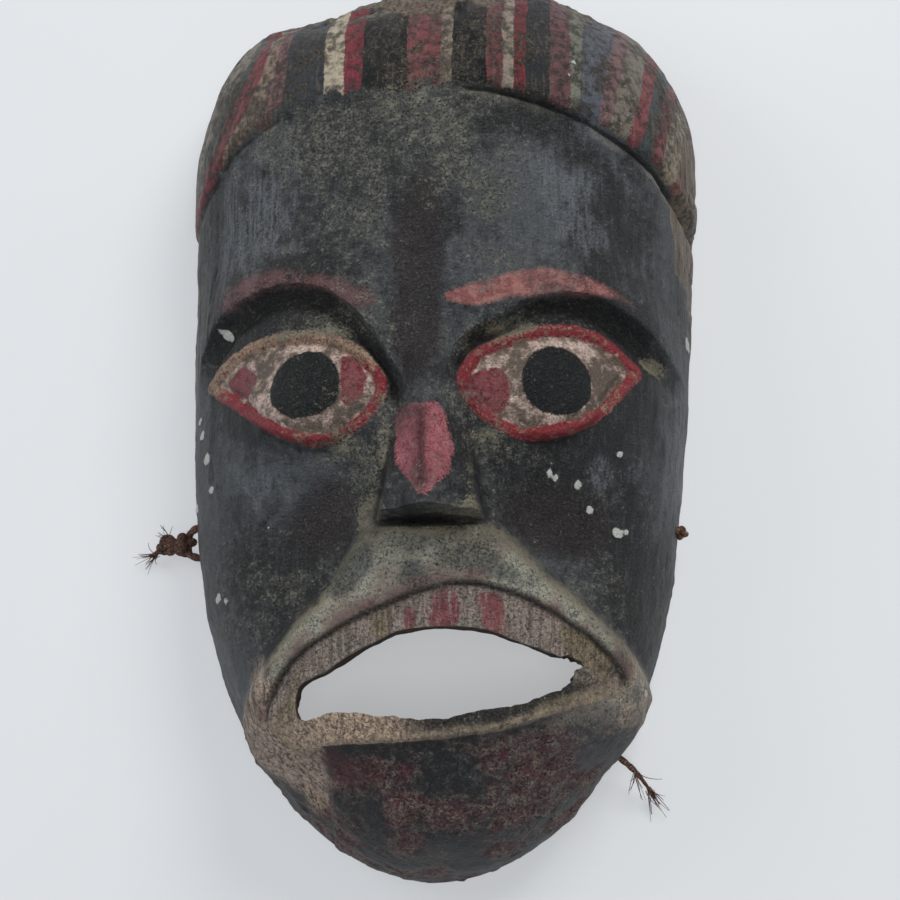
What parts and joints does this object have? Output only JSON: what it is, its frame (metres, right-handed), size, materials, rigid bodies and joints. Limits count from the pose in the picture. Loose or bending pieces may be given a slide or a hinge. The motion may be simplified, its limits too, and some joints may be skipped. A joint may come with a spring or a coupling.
{
  "type": "ritual mask",
  "caption": "Hand-carved wooden face mask, open at the back, with a raised striped headband, domed eyes, an open curved mouth and knotted cord ties, in worn black and red paint.",
  "frame": {"origin": "in the plane of the back rim, in the middle of the mask's own box, the ties not counted", "axes": "+Z out of the face, +Y towards the crown, +X towards the right as the face is looked at"},
  "size_m": [0.1838, 0.2965, 0.0946],
  "materials": {
    "painted_wood": "worn, dusty black and red paint, satin in places, over old wood",
    "cord_fibre": "dry, sooty plant fibre"
  },
  "bodies": {
    "root": {"carved_mask": "painted_wood", "left_tie_cord": "cord_fibre", "left_tie_knot": "cord_fibre", "right_tie_cord": "cord_fibre", "right_tie_knot": "cord_fibre"}
  },
  "joints": []
}
